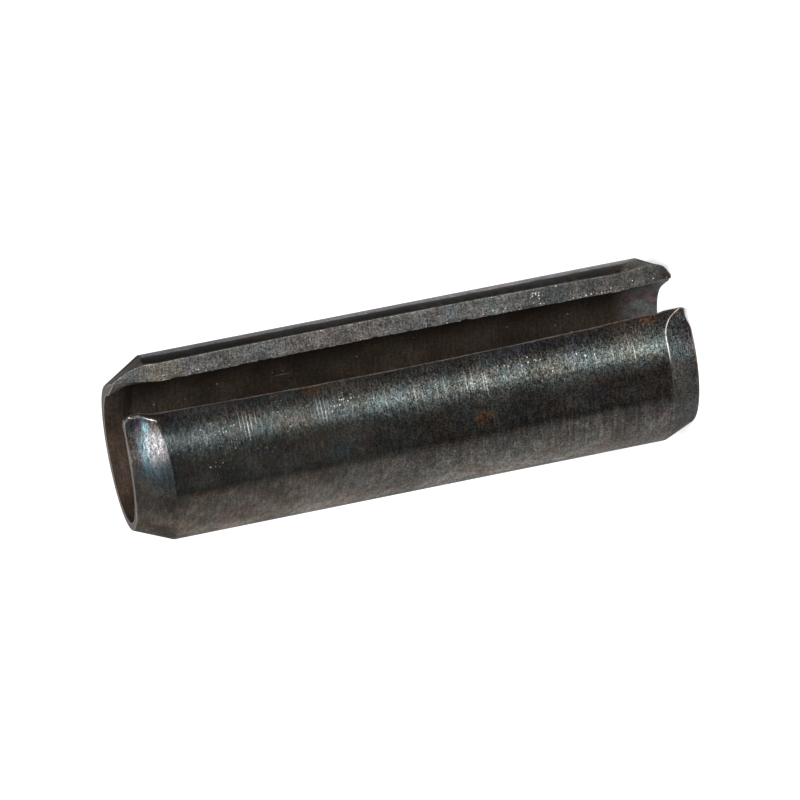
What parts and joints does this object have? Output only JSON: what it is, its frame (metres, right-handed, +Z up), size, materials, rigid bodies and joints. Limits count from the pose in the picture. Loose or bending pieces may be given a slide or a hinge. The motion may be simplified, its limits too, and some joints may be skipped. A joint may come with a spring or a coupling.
{
  "type": "spring roll pin",
  "caption": "Slotted spring pin rolled from steel strip, an open tube with a lengthwise slot and swaged cone ends, driven into a hole to fix or locate parts.",
  "frame": {"origin": "on the pin's axis, in the plane of the lower end", "axes": "+Z up the pin's axis, from the lower end to the upper end; the slot faces halfway between +X and -Y"},
  "size_m": [0.0064, 0.0064, 0.02],
  "materials": {
    "blackened_steel": "heat-blackened, dull, with temper tints and fine marks round the body"
  },
  "bodies": {
    "root": {"spring_pin": "blackened_steel"}
  },
  "joints": []
}
